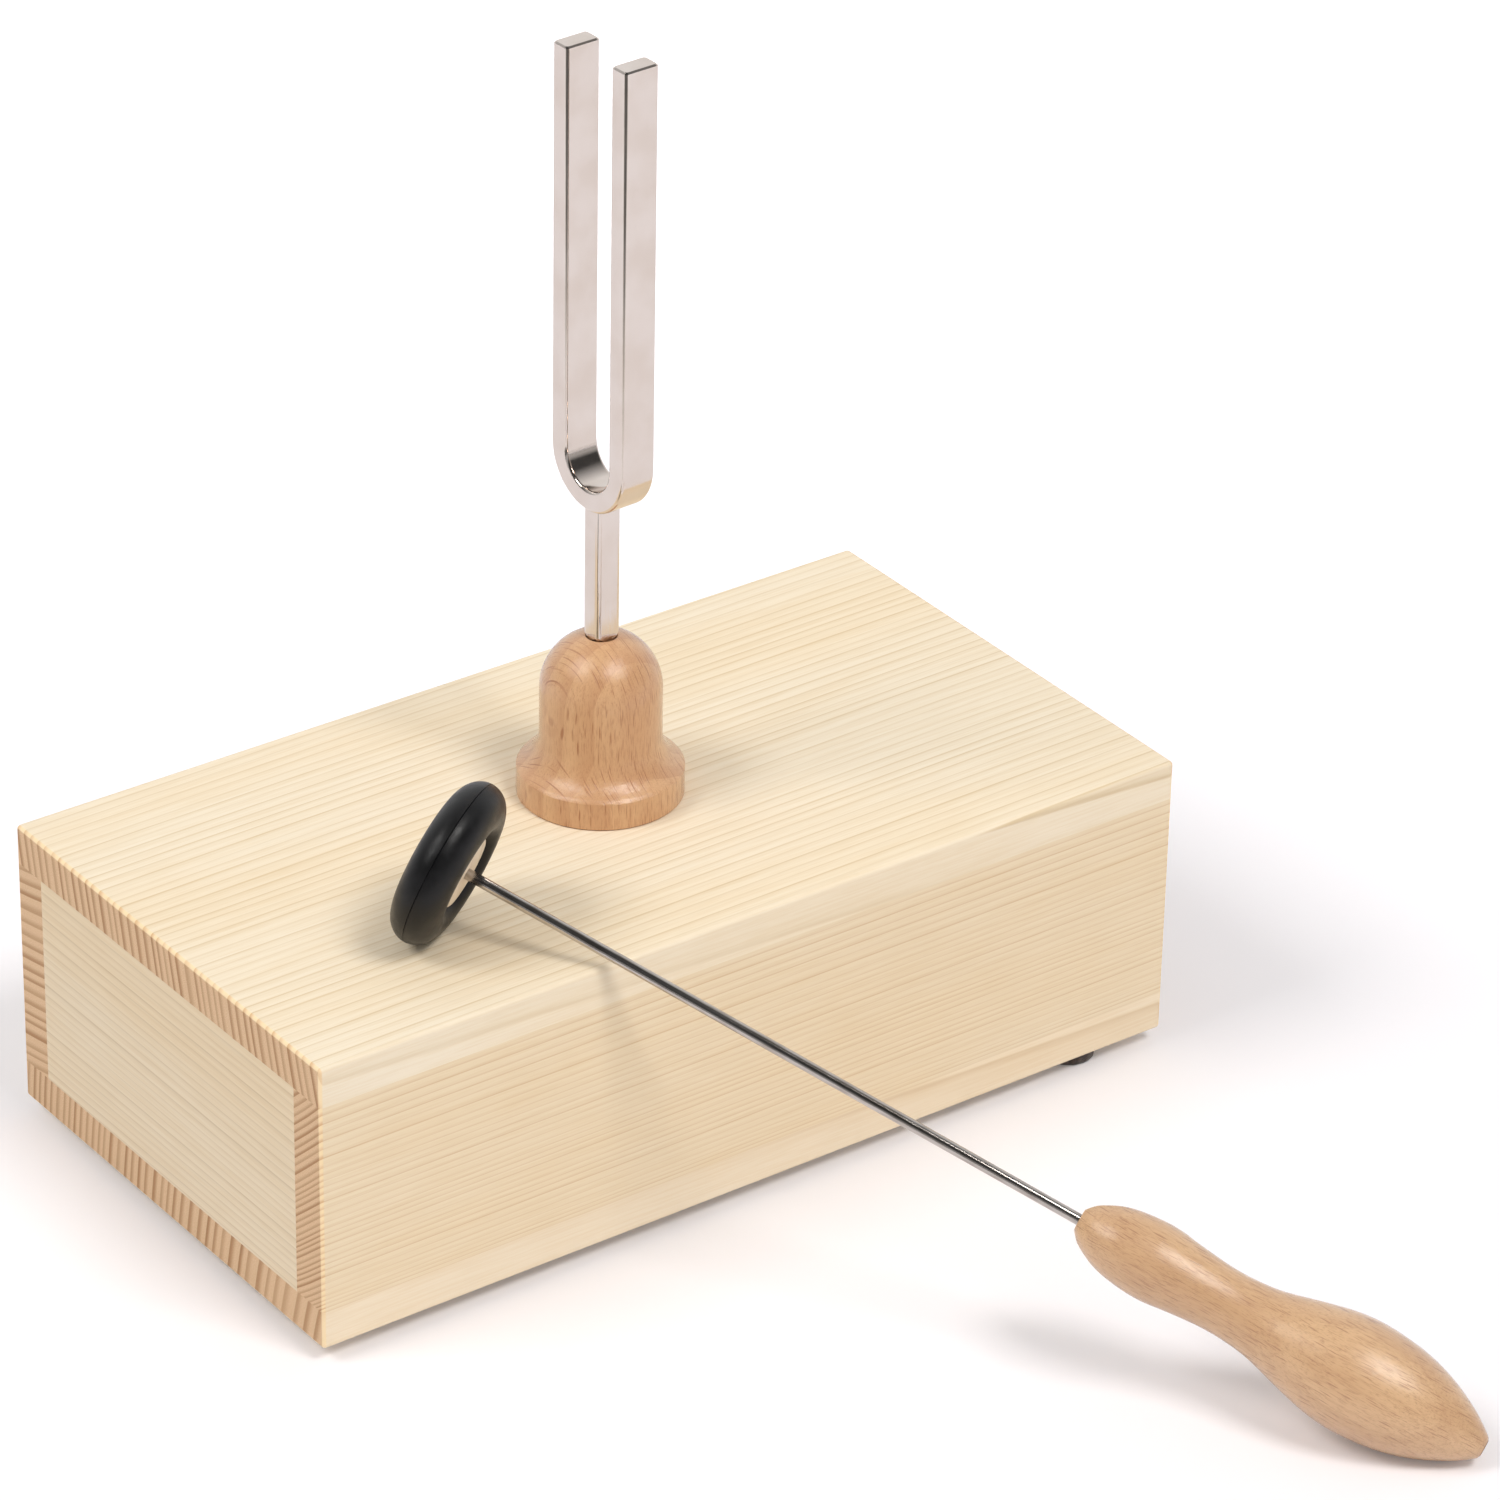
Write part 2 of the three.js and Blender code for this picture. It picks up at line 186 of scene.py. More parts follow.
# What the metal and the lacquer see of the room: brightness by how far a direction points ahead,
# and by how steep it is.
BACKDROP = {"From Min": -0.05, "From Max": 0.6, "To Min": 0.05, "To Max": 0.88}
WALLS = {"From Min": 0.12, "From Max": 0.34, "To Min": 0.45, "To Max": 0.0}
SOFTBOXES = {
    "left_softbox": (168, 50, 1.2, 1.0, 0.35, (1.0, 0.985, 0.965)),
    "right_softbox": (-80, 54, 0.95, 0.8, 0.44, (1.0, 0.975, 0.945)),
}

# ---------------------------------------------------------------- outlines


def arc(centre, radius, start, end, steps):
    """Points on an arc about a centre, from one angle to another."""
    angles = [start + (end - start) * i / steps for i in range(steps + 1)]
    return [(centre[0] + radius * math.cos(a), centre[1] + radius * math.sin(a)) for a in angles]


def filleted(corners):
    """A closed outline through (x, y, radius) corners, with each corner rounded by its radius."""
    outline = []
    for i, (x, y, radius) in enumerate(corners):
        corner = Vector((x, y))
        if not radius:
            outline.append(corner)
            continue
        before = (Vector(corners[i - 1][:2]) - corner).normalized()
        after = (Vector(corners[(i + 1) % len(corners)][:2]) - corner).normalized()
        half = before.angle(after) / 2
        centre = corner + (before + after).normalized() * (radius / math.sin(half))
        start = (corner + before * (radius / math.tan(half)) - centre).normalized()
        end = (corner + after * (radius / math.tan(half)) - centre).normalized()
        for step in range(FILLET_STEPS + 1):
            outline.append(centre + start.slerp(end, step / FILLET_STEPS) * radius)
    return [tuple(point) for point in outline]


def smooth_curve(points, substeps):
    """A Catmull-Rom curve through the points, with each span cut into a few steps."""
    ends = [points[0], *points, points[-1]]
    curve = []
    for a, b, c, d in zip(ends, ends[1:], ends[2:], ends[3:]):
        for step in range(substeps):
            t = step / substeps
            curve.append(
                tuple(
                    (2 * q + (r - p) * t + (2 * p - 5 * q + 4 * r - s) * t**2
                     + (3 * q - p - 3 * r + s) * t**3) / 2
                    for p, q, r, s in zip(a, b, c, d)
                )
            )
    return [*curve, points[-1]]


def turned_outline(node, placement):
    """The outside of a turned CAD node, as (radius, distance along the local Z axis) points."""
    to_local = placement.inverted()
    widest = {}
    for vertex in frame["nodes"][node].data.vertices:
        point = to_local @ vertex.co
        height = round(point.z / MM, 2)
        widest[height] = max(widest.get(height, 0), math.hypot(point.x, point.y))
    return [(radius, height * MM) for height, radius in sorted(widest.items())]


# ---------------------------------------------------------------- meshes


def new_object(name, mesh_maker, placement):
    """An object from a bmesh, smooth except at its sharp edges. The mesh itself holds the turn."""
    bmesh.ops.recalc_face_normals(mesh_maker, faces=mesh_maker.faces)
    mesh_maker.transform(placement.to_3x3().to_4x4())
    mesh = bpy.data.meshes.new(name)
    mesh_maker.to_mesh(mesh)
    mesh_maker.free()
    mesh.shade_smooth()
    mesh.set_sharp_from_angle(angle=SMOOTH_BELOW)
    obj = bpy.data.objects.new(name, mesh)
    bpy.context.scene.collection.objects.link(obj)
    obj.location = placement.translation
    return obj


def skin(mesh_maker, rings, closed):
    """Quads between rings of vertices; a ring of one vertex is a pole."""
    pairs = list(zip(rings, rings[1:]))
    if closed:
        pairs.append((rings[-1], rings[0]))
    for first, second in pairs:
        count = max(len(first), len(second))
        for i in range(count):
            following = (i + 1) % count
            corners = [first[i % len(first)], first[following % len(first)]]
            corners += [second[following % len(second)], second[i % len(second)]]
            mesh_maker.faces.new(list(dict.fromkeys(corners)))


def turned(outline, closed=False):
    """A turning about local Z through (radius, height) points, as a bmesh."""
    mesh_maker = bmesh.new()
    rings = []
    for radius, height in outline:
        count = 1 if radius < AXIS_TOLERANCE else ROUND_STEPS
        angles = [math.tau * i / count for i in range(count)]
        ring = [(radius * math.cos(a), radius * math.sin(a), height) for a in angles]
        rings.append([mesh_maker.verts.new(point) for point in ring])
    skin(mesh_maker, rings, closed)
    return mesh_maker


def rounded_rectangle(width, depth, radius):
    x, y = width / 2, depth / 2
    return filleted([(x, y, radius), (-x, y, radius), (-x, -y, radius), (x, -y, radius)])


def swept(sections):
    """A solid through closed sections, each a list of points, with flat ends."""
    mesh_maker = bmesh.new()
    rings = [[mesh_maker.verts.new(point) for point in section] for section in sections]
    skin(mesh_maker, rings, closed=False)
    mesh_maker.faces.new(rings[0])
    mesh_maker.faces.new(list(reversed(rings[-1])))
    return mesh_maker


def combined(obj, tool, operation):
    """Joins the tool to the object, or cuts it away, and removes the tool."""
    modifier = obj.modifiers.new(operation.lower(), "BOOLEAN")
    modifier.operation = operation
    modifier.solver = "EXACT"
    modifier.object = tool
    bpy.context.view_layer.update()
    result = bpy.data.meshes.new_from_object(
        obj.evaluated_get(bpy.context.evaluated_depsgraph_get())
    )
    obj.modifiers.clear()
    obj.data = result
    result.set_sharp_from_angle(angle=SMOOTH_BELOW)
    bpy.data.objects.remove(tool)
    return obj


def level_flats(obj):
    """Keeps flat faces flat beside rounded edges."""
    modifier = obj.modifiers.new("level_flats", "WEIGHTED_NORMAL")
    modifier.keep_sharp = True
    return obj


def show(obj, node, surface):
    """Puts the finished piece in the place of its CAD node."""
    obj.data.materials.clear()
    obj.data.materials.append(surface)
    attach(obj, BODY_OF[node])
    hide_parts(node)
    return obj


# ---------------------------------------------------------------- materials


def rgb(red, green, blue):
    """A linear colour from 8-bit sRGB values."""
    def linear(value):
        value /= 255
        return value / 12.92 if value <= 0.04045 else ((value + 0.055) / 1.055) ** 2.4
    return (linear(red), linear(green), linear(blue), 1)


class Surface:
    """A node tree with a short call for each kind of node that the surfaces use."""

    def __init__(self, name, turn=None):
        self.turn = turn
        self.material = bpy.data.materials.new(name)
        self.material.use_nodes = True
        self.tree = self.material.node_tree
        self.shader = self.tree.nodes["Principled BSDF"]
        self.coordinates = self.add("TexCoord")

    def add(self, kind, inputs=(), **settings):
        node = self.tree.nodes.new("ShaderNode" + kind)
        for key, value in settings.items():
            setattr(node, key, value)
        for key, value in dict(inputs).items():
            self.feed(node.inputs[key], value)
        return node

    def feed(self, socket, value):
        if isinstance(value, bpy.types.NodeSocket):
            self.tree.links.new(value, socket)
        else:
            socket.default_value = value

    def finish(self, **inputs):
        for key, value in inputs.items():
            self.feed(self.shader.inputs[key.replace("_", " ")], value)
        return self.material

    def position(self, origin=(0, 0, 0)):
        """The point in millimetres, from an origin that is in millimetres too."""
        point = self.vector("SCALE", self.coordinates.outputs["Object"], Scale=1 / MM)
        if self.turn:
            inputs = {"Vector": point, "Rotation": self.turn}
            point = self.add("VectorRotate", inputs, rotation_type="EULER_XYZ").outputs["Vector"]
        return self.vector("SUBTRACT", point, origin)

    def vector(self, operation, *values, **named):
        inputs = {**dict(enumerate(values)), **named}
        node = self.add("VectorMath", inputs, operation=operation)
        return node.outputs["Value" if operation in ("LENGTH", "DOT_PRODUCT") else "Vector"]

    def stretched(self, point, scales):
        return self.vector("MULTIPLY", point, scales)

    def math(self, operation, *values):
        return self.add("Math", dict(enumerate(values)), operation=operation).outputs[0]

    def sum(self, *values):
        total = values[0]
        for value in values[1:]:
            total = self.math("ADD", total, value)
        return total

    def times(self, *values):
        product = values[0]
        for value in values[1:]:
            product = self.math("MULTIPLY", product, value)
        return product

    def noise(self, point, scale, detail=2.0, roughness=0.5):
        inputs = {"Vector": point, "Scale": scale, "Detail": detail, "Roughness": roughness}
        return self.add("TexNoise", inputs).outputs["Fac"]

    def noise_along(self, value, scale, detail=1.0):
        inputs = {"W": value, "Scale": scale, "Detail": detail}
        return self.add("TexNoise", inputs, noise_dimensions="1D").outputs["Fac"]

    def random(self, value):
        return self.add("TexWhiteNoise", {"W": value}, noise_dimensions="1D").outputs["Value"]

    def between(self, value, low, high, to_low=0.0, to_high=1.0):
        """The value's place between two limits, eased, as a number between two others."""
        inputs = {"Value": value, "From Min": low, "From Max": high}
        inputs.update({"To Min": to_low, "To Max": to_high})
        node = self.add("MapRange", inputs, interpolation_type="SMOOTHSTEP")
        return node.outputs["Result"]

    def mix(self, factor, first, second, blend="MIX"):
        node = self.add("Mix", data_type="RGBA", blend_type=blend)
        self.feed(node.inputs["Factor"], factor)
        self.feed(node.inputs[6], first)
        self.feed(node.inputs[7], second)
        return node.outputs[2]

    def bump(self, height, distance, strength=1.0):
        inputs = {"Height": height, "Distance": distance, "Strength": strength}
        return self.add("Bump", inputs).outputs["Normal"]


def spruce(name, wood):
    """Sanded spruce, whose rings are cylinders about the pith, a line along the grain.

    The pith and the wood's middle are in millimetres of the piece. The rings get closer outwards
    by the tightening, in rings per square millimetre, and run_out is the slope of the grain.
    """
    surface = Surface(name)
    grain, pith = wood["grain"], wood["pith"]
    point = surface.position(pith)
    along = [abs(part) for part in grain]
    across = [1 - part for part in along]
    out_to_middle = (Vector(wood["middle"]) - Vector(pith)) * Vector(across)
    slow_space = [0.004 * part + 0.02 * (1 - part) for part in along]
    sway = surface.noise(surface.stretched(point, slow_space), 1)
    slope = surface.vector("DOT_PRODUCT", point, [wood["run_out"] * part for part in along])
    depth = surface.vector("LENGTH", surface.stretched(point, across))
    depth = surface.sum(depth, wood["shift"] - out_to_middle.length, slope, surface.times(sway, 1.8))
    uneven = surface.noise_along(surface.sum(depth, wood["seed"] * 37.0), 0.13, 1.0)
    depth = surface.sum(depth, surface.times(uneven, 2.2))
    tighter = surface.times(depth, depth, wood["tightening"] / 2)
    rings = surface.sum(surface.times(depth, wood["rings_per_mm"]), tighter)
    place = surface.math("FRACT", rings)
    chance = surface.random(surface.sum(surface.math("FLOOR", rings), wood["seed"]))
    # Late wood darkens slowly towards the bark and ends at a sharp line.
    slow = surface.between(place, 0.25, 0.95, 0.0, 0.4)
    line = surface.between(place, 0.78, 0.92, 0.0, 0.6)
    late = surface.times(surface.sum(slow, line), surface.between(place, 1.0, 0.93))
    late = surface.times(late, surface.between(chance, 0.0, 1.0, 0.45, 1.0))
    # Fibres run along the grain, and patches of the board are a little warmer.
    fibres = surface.noise(surface.stretched(point, [1 - 0.97 * part for part in along]), 2.4, 3.0, 0.6)
    patch_space = [0.008 * part + 0.04 * (1 - part) for part in along]
    patches = surface.noise(surface.stretched(point, patch_space), 1, 2.0)
    warm = surface.between(patches, 0.35, 0.7, 0.0, 0.5)
    streaks = surface.between(fibres, 0.35, 0.7, 0.0, 0.6)
    face = surface.mix(late, wood["early"], wood["late"])
    face = surface.mix(warm, face, rgb(253, 246, 234), "MULTIPLY")
    face = surface.mix(streaks, face, rgb(247, 241, 231), "MULTIPLY")
    # End grain drinks in the light, and its open cells show as specks. Its lines are wider.
    cells = surface.noise(surface.stretched(point, [1 - 0.5 * part for part in along]), 5.0, 3.0, 0.75)
    wide = surface.times(surface.between(place, 0.35, 0.88), surface.between(place, 1.0, 0.95))
    wide = surface.times(wide, surface.between(chance, 0.0, 1.0, 0.55, 1.0))
    end = surface.mix(wide, *(rgb(*shade) for shade in END_GRAIN_SHADES))
    end = surface.mix(surface.between(cells, 0.35, 0.7, 0.0, 0.8), end, rgb(228, 214, 198), "MULTIPLY")
    # The sanded edge between the two is a warm band that the lines run over.
    facing = surface.vector("DOT_PRODUCT", surface.coordinates.outputs["Normal"], grain)
    facing = surface.math("ABSOLUTE", facing)
    end_on = surface.between(facing, 0.86, 0.99)
    edge = surface.times(surface.between(facing, 0.12, 0.5), surface.between(facing, 0.995, 0.9))
    colour = surface.mix(end_on, face, end)
    band = surface.mix(surface.times(wide, 0.85), rgb(252, 226, 180), rgb(222, 174, 122))
    colour = surface.mix(surface.times(edge, wood["arris"]), colour, band)
    height = surface.sum(surface.times(late, 0.6), surface.times(fibres, 0.4))
    roughness = surface.between(late, 0.0, 1.0, 0.66, 0.55)
    normal = surface.bump(height, 0.03 * MM, 0.4)
    surface.feed(surface.shader.inputs["Specular IOR Level"], 0.2)
    return surface.finish(Base_Color=colour, Roughness=roughness, Normal=normal)


def beech_rays(surface, drift):
    """Thin upright blades, radial to the tree: short dashes or long ones, as the shape cuts them."""
    lean = surface.noise(surface.stretched(drift, (0.12, 0.05, 0.05)), 1)
    leaning = surface.add("CombineXYZ", {"X": surface.times(lean, 1.6)}).outputs[0]
    swaying = surface.vector("ADD", drift, leaning)
    rays = None
    for layer in range(RAY_LAYERS):
        shifted = surface.vector("ADD", swaying, (layer * 17.3, layer * 5.1, layer * 29.7))
        cell_space = surface.stretched(shifted, RAY_CELLS_PER_MM)
        cells = surface.add("TexVoronoi", {"Vector": cell_space, "Scale": 1.0})
        offset = surface.vector("SUBTRACT", cell_space, cells.outputs["Position"])
        size = surface.vector("LENGTH", surface.stretched(offset, RAY_SHARPNESS))
        chance = surface.add("SeparateColor", {0: cells.outputs["Color"]}).outputs[0]
        dash = surface.between(size, 1.0, 0.45)
        dash = surface.times(dash, surface.between(chance, 0.0, 1.0, 0.25, 1.0))
        rays = dash if rays is None else surface.math("MAXIMUM", rays, dash)
    return rays


def beech(name, wood, turn=None):
    """Lacquered beech, turned about local Z, which is also its grain.

    bark_side is the direction, about Z, in which the rings grow, and ring_edge a place along it,
    in millimetres, where one ring ends. light and deep are the colours inside a ring.
    """
    surface = Surface(name, turn)
    light, deep, ray = wood["light"], wood["deep"], wood["ray"]
    straight = {"Vector": surface.position(), "Angle": -math.pi / 2 - wood["bark_side"]}
    point = surface.add("VectorRotate", straight, rotation_type="Z_AXIS").outputs["Vector"]
    seed = wood["seed"]
    drift = surface.vector("ADD", point, (seed * 31.0, seed * 17.0, seed * 53.0))
    # The rings grow towards local -Y, about a pith far away on the other side.
    pith = (0, BEECH_PITH_DISTANCE, 0)
    from_pith = surface.stretched(surface.vector("SUBTRACT", point, pith), (1, 1, 0))
    out = surface.vector("LENGTH", from_pith)
    sway = surface.noise(surface.stretched(drift, (0.06, 0.06, 0.03)), 1, 2.0)
    out = surface.sum(out, -pith[1] - wood["ring_edge"], surface.times(sway, 3.0), -1.5)
    place = surface.math("FRACT", surface.times(out, 1 / BEECH_RING_WIDTH))
    late = surface.times(surface.between(place, 0.3, 0.96), surface.between(place, 1.0, 0.97))
    rays = beech_rays(surface, drift)
    pores = surface.noise(surface.stretched(drift, (5.0, 5.0, 0.5)), 1, 3.0, 0.7)
    patches = surface.noise(surface.stretched(drift, (0.14, 0.14, 0.04)), 1, 3.0)
    streaks = surface.noise(surface.stretched(drift, (1.3, 1.3, 0.06)), 1, 2.0)
    colour = surface.mix(surface.times(late, wood["ring_strength"]), light, deep)
    colour = surface.mix(surface.between(patches, 0.4, 0.7, 0.0, 0.5), colour, deep)
    colour = surface.mix(surface.between(streaks, 0.45, 0.7, 0.0, 0.45), colour, deep)
    colour = surface.mix(surface.between(pores, 0.48, 0.7, 0.0, 0.42), colour, ray)
    colour = surface.mix(surface.times(rays, wood["ray_strength"]), colour, ray)
    height = surface.sum(surface.times(pores, -0.6), surface.times(rays, -0.5))
    normal = surface.bump(height, 0.04 * MM, 0.5)
    # The lacquer follows the pores a little, which breaks up the highlights.
    peel = surface.noise(drift, 3.2, 3.0, 0.7)
    coat_height = surface.sum(peel, surface.times(pores, -0.8), surface.times(rays, -0.4))
    coat_normal = surface.bump(coat_height, 0.045 * MM)
    surface.finish(Base_Color=colour, Roughness=0.5, Normal=normal)
    return surface.finish(Coat_Weight=1.0, Coat_Roughness=0.1, Coat_Normal=coat_normal)


def nickel():
    """Polished nickel plate with the faint lines of its polishing."""
    surface = Surface("nickel_plate")
    point = surface.position()
    lines = surface.noise(surface.stretched(point, (4.0, 4.0, 0.12)), 1, 3.0, 0.6)
    haze = surface.noise(point, 0.12, 3.0)
    colour = surface.mix(surface.between(haze, 0.3, 0.7), rgb(229, 219, 212), rgb(222, 210, 201))
    dulled = surface.between(haze, 0.4, 0.8, 0.0, 0.05)
    roughness = surface.sum(surface.between(lines, 0.3, 0.7, 0.07, 0.15), dulled)
    normal = surface.bump(lines, 0.004 * MM, 0.4)
    return surface.finish(Base_Color=colour, Metallic=1.0, Roughness=roughness, Normal=normal)


def bright_steel():
    """A bright drawn rod: fine lines along it and a few duller spots."""
    surface = Surface("bright_steel", STRIKER_TURN_BACK)
    point = surface.position()
    lines = surface.noise(surface.stretched(point, (5.0, 5.0, 0.02)), 1, 2.0, 0.6)
    spots = surface.noise(surface.stretched(point, (1.0, 1.0, 0.2)), 1, 3.0)
    colour = surface.mix(surface.between(spots, 0.4, 0.7), rgb(196, 190, 185), rgb(168, 160, 153))
    roughness = surface.between(lines, 0.3, 0.7, 0.12, 0.22)
    normal = surface.bump(lines, 0.004 * MM, 0.3)
    return surface.finish(Base_Color=colour, Metallic=1.0, Roughness=roughness, Normal=normal)


def black_rubber():
    """Moulded rubber: matt, faintly mottled, with a dusty bloom."""
    surface = Surface("black_rubber")
    point = surface.position()
    grain = surface.noise(point, 5.0, 3.0, 0.65)
    bloom = surface.noise(point, 0.35, 4.0, 0.6)
    colour = surface.mix(surface.between(bloom, 0.4, 0.75), rgb(7, 7, 9), rgb(15, 15, 18))
    roughness = surface.between(bloom, 0.3, 0.7, 0.34, 0.46)
    normal = surface.bump(grain, 0.03 * MM, 0.5)
    surface.feed(surface.shader.inputs["Specular IOR Level"], 0.35)
    return surface.finish(Base_Color=colour, Roughness=roughness, Normal=normal)


def felt():
    """Dark pressed felt with a little fuzz."""
    surface = Surface("felt")
    point = surface.position()
    fuzz = surface.noise(point, 4.0, 4.0, 0.75)
    tufts = surface.noise(point, 1.1, 3.0, 0.6)
    colour = surface.mix(surface.between(tufts, 0.35, 0.7), rgb(52, 42, 36), rgb(84, 70, 60))
    normal = surface.bump(surface.math("ADD", fuzz, tufts), 0.25 * MM, 0.8)
    surface.finish(Base_Color=colour, Roughness=0.95, Normal=normal)
    return surface.finish(Sheen_Weight=0.4, Sheen_Roughness=0.5)


# ---------------------------------------------------------------- the resonance box


def outer_edges(mesh_maker):
    """The edges that lie on two outer faces of the whole box."""
    planes = [(0, -BOX_HALF.x), (0, BOX_HALF.x), (1, -BOX_HALF.y), (1, BOX_HALF.y), (2, 0), (2, BOX_TOP)]
    found = []
    for edge in mesh_maker.edges:
        on = [
            all(abs(vertex.co[axis] - value) < TOUCHING for vertex in edge.verts)
            for axis, value in planes
        ]
        if sum(on) >= 2:
            found.append(edge)
    return found


def board(node):
    """A board of the box, eased where it reaches the outside."""
    low, high = (corner - BOX_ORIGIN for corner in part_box(node))
    size = Matrix.Diagonal((*(high - low), 1))
    mesh_maker = bmesh.new()
    bmesh.ops.create_cube(mesh_maker, size=1, matrix=Matrix.Translation((low + high) / 2) @ size)
    bmesh.ops.bevel(
        mesh_maker,
        geom=outer_edges(mesh_maker),
        offset=EASED_EDGE,
        segments=EASED_EDGE_STEPS,
        profile=0.5,
        affect="EDGES",
    )
    return new_object(node + "_detailed", mesh_maker, Matrix.Translation(BOX_ORIGIN))


def peg_hole():
    """The tool that drills the lid for the peg."""
    seat = SEAT - BOX_ORIGIN
    outline = [(0, PEG_DEPTH), (PEG_BORE_RADIUS, PEG_DEPTH), (PEG_BORE_RADIUS, MM), (0, MM)]
    placement = Matrix.Translation(BOX_ORIGIN + Vector((seat.x, seat.y, BOX_TOP)))
    return new_object("peg_hole", turned(outline), placement)


def board_wood(node):
    """How the annual rings run through a board, and its colours."""
    plain = {"grain": (1, 0, 0), "tightening": 0.0, "shift": 0.0, "run_out": 0.0, "arris": 0.8}
    plain.update(early=rgb(247, 231, 205), late=rgb(228, 204, 170))
    own = {
        "lid_board": dict(
            pith=(0, -250, 107), rings_per_mm=0.45, run_out=-0.013, shift=1.7, seed=3,
            early=rgb(247, 234, 211), late=rgb(226, 206, 172),
        ),
        "base_board": dict(
            pith=(0, -129, -18), rings_per_mm=0.42, tightening=0.0024, run_out=0.010, seed=11,
        ),
        "front_side_board": dict(
            pith=(0, 123, 221), rings_per_mm=0.95, tightening=0.015, run_out=0.002, seed=23,
            early=rgb(242, 225, 196), late=rgb(225, 198, 160),
        ),
        "rear_side_board": dict(pith=(0, 84, 224), rings_per_mm=0.42, tightening=0.003, seed=31),
        "closed_end_panel": dict(
            grain=(0, 1, 0), pith=(-96, 0, -172), rings_per_mm=0.58, tightening=-0.005,
            run_out=0.006, seed=43, early=rgb(234, 218, 191), late=rgb(212, 192, 161),
        ),
    }
    return {**plain, **own[node], "middle": (middle_of(node) - BOX_ORIGIN) / MM}


def resonance_box():
    for node in sorted(node for node, slot in SLOT_OF.items() if slot == "spruce"):
        if node == "striker_hub":
            continue
        obj = board(node)
        if node == "lid_board":
            combined(obj, peg_hole(), "DIFFERENCE")
        level_flats(obj)
        show(obj, node, spruce(node + "_spruce", board_wood(node)))


def felt_pads():
    surface = felt()
    for node in sorted(node for node in frame["nodes"] if node.startswith("felt_pad")):
        low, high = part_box(node)
        radius = (high.x - low.x) / 2
        height = high.z - low.z
        corners = [(0, 0, 0), (radius, 0, PAD_ROUNDING), (radius, height, PAD_FUZZ), (0, height, 0)]
        mesh_maker = turned(filleted(corners))
        for vertex in mesh_maker.verts:
            bumpy = noise.noise(vertex.co / MM) * PAD_FUZZ
            outwards = Vector((vertex.co.x, vertex.co.y, 0))
            if outwards.length > radius / 2:
                vertex.co += outwards.normalized() * (bumpy - PAD_FUZZ)
        foot_point = Vector(((low.x + high.x) / 2, (low.y + high.y) / 2, low.z))
        obj = new_object(node + "_detailed", mesh_maker, Matrix.Translation(foot_point))
        show(obj, node, surface)


# ---------------------------------------------------------------- the foot, its peg and the fork


def foot_outline():
    """The bell, closed through the peg's bore and the fork's socket."""
    base_radius = (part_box("fork_foot")[1].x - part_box("fork_foot")[0].x) / 2
    shoulder_x = base_radius - FOOT_SHOULDER_RADIUS * math.cos(FOOT_SHOULDER_ANGLE)
    shoulder_z = FOOT_BAND_HEIGHT - FOOT_SHOULDER_RADIUS * math.sin(FOOT_SHOULDER_ANGLE)
    angles = (FOOT_SHOULDER_ANGLE, FOOT_COVE_ANGLE)
    shoulder = arc((shoulder_x, shoulder_z), FOOT_SHOULDER_RADIUS, *angles, FOOT_ARC_STEPS)
    # The cove's circle touches the shoulder's where it starts, and the body where it ends.
    shoulder_end = shoulder[-1][0]
    cove_radius = (shoulder_end - FOOT_BODY_RADIUS) / (1 - math.cos(FOOT_COVE_ANGLE))
    reach = FOOT_SHOULDER_RADIUS + cove_radius
    cove_x = shoulder_x + reach * math.cos(FOOT_COVE_ANGLE)
    cove_z = shoulder_z + reach * math.sin(FOOT_COVE_ANGLE)
    cove = arc((cove_x, cove_z), cove_radius, math.pi + FOOT_COVE_ANGLE, math.pi, FOOT_ARC_STEPS)
    rim_angle = math.acos((FOOT_SOCKET_RADIUS + FOOT_EDGE) / FOOT_BODY_RADIUS)
    dome = arc((0, FOOT_DOME_START), FOOT_BODY_RADIUS, 0, rim_angle, 3 * FOOT_ARC_STEPS)
    rim = (FOOT_SOCKET_RADIUS, dome[-1][1] - FOOT_EDGE)
    base = [(base_radius - FOOT_EDGE, FOOT_STANDOFF), (base_radius, FOOT_EDGE)]
    bore_top = PEG_HEIGHT + END_CLEARANCE
    bore = [(0, bore_top), (PEG_BORE_RADIUS, bore_top), (PEG_BORE_RADIUS, FOOT_STANDOFF)]
    socket = [rim, (FOOT_SOCKET_RADIUS, FOOT_SOCKET_FLOOR), (0, FOOT_SOCKET_FLOOR)]
    return [*bore, *base, *shoulder, *cove[1:], *dome, *socket]


def fork_foot():
    obj = new_object("fork_foot_detailed", turned(foot_outline()), Matrix.Translation(SEAT))
    wood = {
        "light": rgb(217, 171, 125),
        "deep": rgb(201, 150, 106),
        "ray": rgb(158, 94, 50),
        "bark_side": math.radians(-85),
        "ring_edge": 13.0,
        "ring_strength": 0.75,
        "ray_strength": 0.8,
        "seed": 2,
    }
    show(obj, "fork_foot", beech("foot_beech", wood))


def foot_peg():
    radius = (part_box("foot_peg")[1].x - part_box("foot_peg")[0].x) / 2
    corners = [(0, PEG_DEPTH, 0), (radius, PEG_DEPTH, PEG_ROUNDING), (radius, PEG_HEIGHT, PEG_ROUNDING)]
    outline = filleted([*corners, (0, PEG_HEIGHT, 0)])
    obj = new_object("foot_peg_detailed", turned(outline), Matrix.Translation(SEAT))
    wood = {
        "light": rgb(226, 186, 142),
        "deep": rgb(206, 160, 116),
        "ray": rgb(150, 100, 64),
        "bark_side": 0.0,
        "ring_edge": 1.0,
        "ring_strength": 0.6,
        "ray_strength": 0.6,
        "seed": 5,
    }
    show(obj, "foot_peg", beech("peg_beech", wood))


